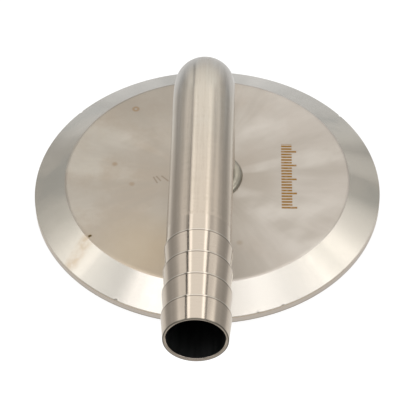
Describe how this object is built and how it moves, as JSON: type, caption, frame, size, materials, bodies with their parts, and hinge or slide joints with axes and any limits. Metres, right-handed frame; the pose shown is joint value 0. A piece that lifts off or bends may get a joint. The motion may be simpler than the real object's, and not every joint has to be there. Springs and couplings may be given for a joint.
{
  "type": "clamp end cap with bent hose barb",
  "caption": "Sanitary clamp end cap with a welded tube that rises, bends through a right angle and runs past the rim to a toothed hose barb, for leading gas off a closed vessel.",
  "frame": {"origin": "centre of the gas port in the cap's sealing face", "axes": "+Z away from the vessel along the neck, -Y along the level run towards the barb's mouth, X across"},
  "size_m": [0.119, 0.18, 0.0754],
  "materials": {
    "machined_steel": "polished after turning, with faint radial streaks",
    "brushed_tube": "satin, brushed along the tube",
    "turned_steel": "fine turned, marks run round the barb",
    "weld_bead": "smooth bright bead",
    "ground_weld": "ground flush"
  },
  "bodies": {
    "root": {"end_cap": "machined_steel", "bent_tube": "brushed_tube", "hose_barb": "turned_steel", "neck_weld": "weld_bead", "root_weld": "ground_weld", "barb_weld": "ground_weld"}
  },
  "joints": []
}
